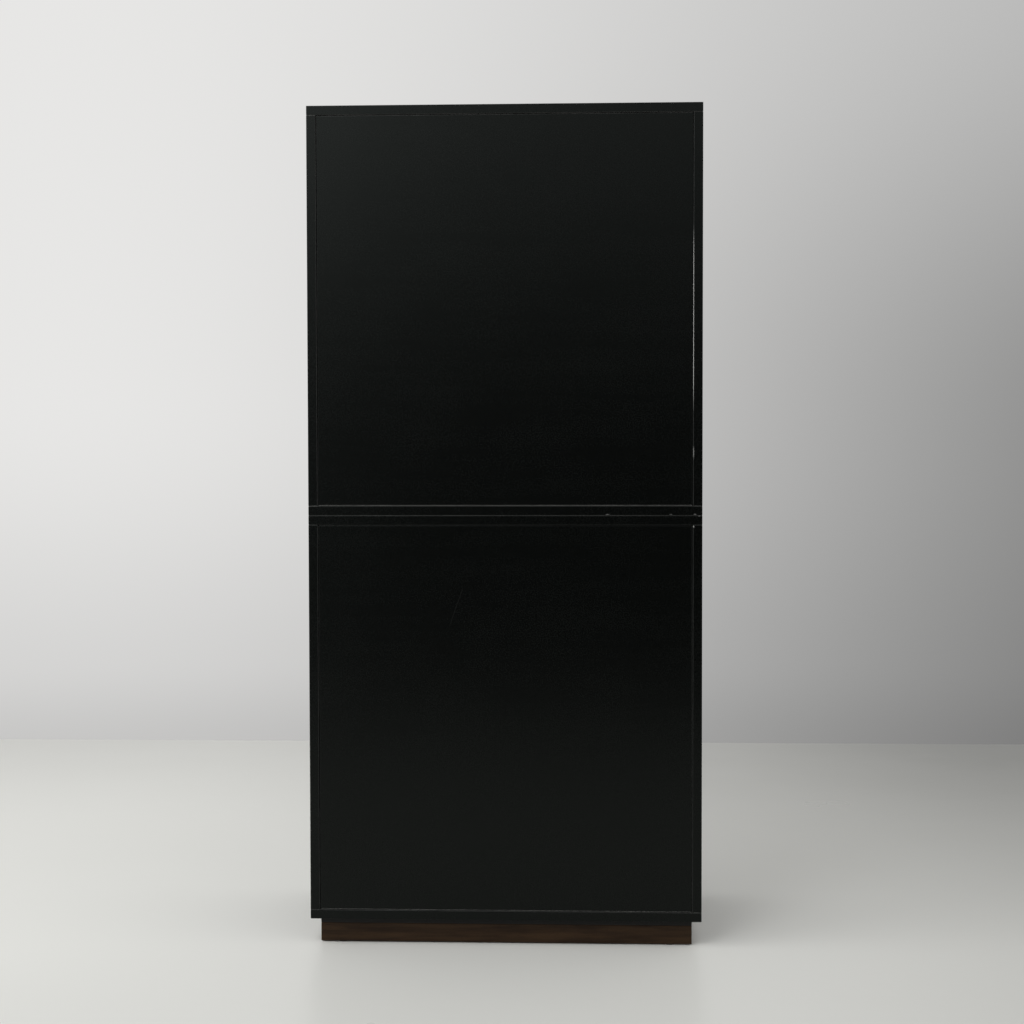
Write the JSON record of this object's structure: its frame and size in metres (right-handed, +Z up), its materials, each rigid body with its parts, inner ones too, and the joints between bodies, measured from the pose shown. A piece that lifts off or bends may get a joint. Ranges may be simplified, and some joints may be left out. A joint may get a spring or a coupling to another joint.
{
  "type": "stacked cabinet",
  "caption": "Tall black cabinet of stacked boxes with flush handleless doors on knife hinges, touch latches and inner shelves, on a set-back brown plinth.",
  "frame": {"origin": "on the floor under the middle of the case", "axes": "+Z up, front towards -Y, +X to the right seen from the front"},
  "size_m": [0.76, 0.44, 1.624],
  "materials": {
    "black_laminate": "satin black laminate",
    "back_board": "matt black hardboard",
    "brown_plinth": "dark brown stained wood",
    "plain_wood": "bare softwood",
    "beech_dowel": "bare beech",
    "black_hinge": "black plated steel",
    "plated_steel": "zinc plate",
    "black_steel": "black oxide",
    "magnet": "nickel plate",
    "black_plastic": "moulded, matt",
    "nylon_glide": "moulded, matt"
  },
  "bodies": {
    "case": {"lower_top_panel": "black_laminate", "lower_bottom_panel": "black_laminate", "lower_left_side": "black_laminate", "lower_right_side": "black_laminate", "lower_back_panel": "back_board", "lower_back_screws": "black_steel", "lower_carcass_dowels": "beech_dowel", "lower_shelf": "black_laminate", "lower_shelf_pins": "plated_steel", "lower_hinge_washers": "black_hinge", "lower_top_hinge_case_leaf": "black_hinge", "lower_bottom_hinge_case_leaf": "black_hinge", "lower_hinge_case_screws": "black_hinge", "lower_latch_housing": "black_plastic", "lower_latch_spring": "plated_steel", "lower_latch_screws": "plated_steel", "upper_top_panel": "black_laminate", "upper_bottom_panel": "black_laminate", "upper_left_side": "black_laminate", "upper_right_side": "black_laminate", "upper_back_panel": "back_board", "upper_back_screws": "black_steel", "upper_carcass_dowels": "beech_dowel", "upper_shelf": "black_laminate", "upper_shelf_pins": "plated_steel", "upper_hinge_washers": "black_hinge", "upper_top_hinge_case_leaf": "black_hinge", "upper_bottom_hinge_case_leaf": "black_hinge", "upper_hinge_case_screws": "black_hinge", "upper_latch_housing": "black_plastic", "upper_latch_spring": "plated_steel", "upper_latch_screws": "plated_steel", "connector_sleeves": "plated_steel", "connector_bolts": "plated_steel", "plinth_front_rail": "brown_plinth", "plinth_back_rail": "brown_plinth", "plinth_left_rail": "brown_plinth", "plinth_right_rail": "brown_plinth", "plinth_top_board": "black_laminate", "plinth_corner_blocks": "plain_wood", "plinth_rail_screws": "plated_steel", "plinth_fixing_screws": "plated_steel", "plinth_glides": "nylon_glide"},
    "upper_door": {"upper_door": "black_laminate", "upper_top_hinge_door_leaf": "black_hinge", "upper_bottom_hinge_door_leaf": "black_hinge", "upper_hinge_door_screws": "black_hinge", "upper_strike_plate": "plated_steel", "upper_strike_screw": "plated_steel"},
    "lower_door": {"lower_door": "black_laminate", "lower_top_hinge_door_leaf": "black_hinge", "lower_bottom_hinge_door_leaf": "black_hinge", "lower_hinge_door_screws": "black_hinge", "lower_strike_plate": "plated_steel", "lower_strike_screw": "plated_steel"},
    "upper_plunger": {"upper_latch_plunger": "black_plastic", "upper_latch_magnet": "magnet"},
    "lower_plunger": {"lower_latch_plunger": "black_plastic", "lower_latch_magnet": "magnet"}
  },
  "joints": [
    {"name": "lower_door_hinge", "type": "hinge", "parent": "case", "child": "lower_door", "pos_m": [-0.3368, -0.212, 0.4435], "axis": [0, 0, -1], "range_deg": [0, 110]},
    {"name": "lower_latch_slide", "type": "slide", "parent": "case", "child": "lower_plunger", "axis": [0, -1, 0], "range_m": [0, 0.02], "deforming": ["lower_latch_spring"]},
    {"name": "upper_door_hinge", "type": "hinge", "parent": "case", "child": "upper_door", "pos_m": [-0.3368, -0.212, 1.2305], "axis": [0, 0, -1], "range_deg": [0, 110]},
    {"name": "upper_latch_slide", "type": "slide", "parent": "case", "child": "upper_plunger", "axis": [0, -1, 0], "range_m": [0, 0.02], "deforming": ["upper_latch_spring"]}
  ],
  "couplings": [
    {"joint": "lower_latch_slide", "follows": "lower_door_hinge", "m_per_rad": 0.0104},
    {"joint": "upper_latch_slide", "follows": "upper_door_hinge", "m_per_rad": 0.0104}
  ]
}
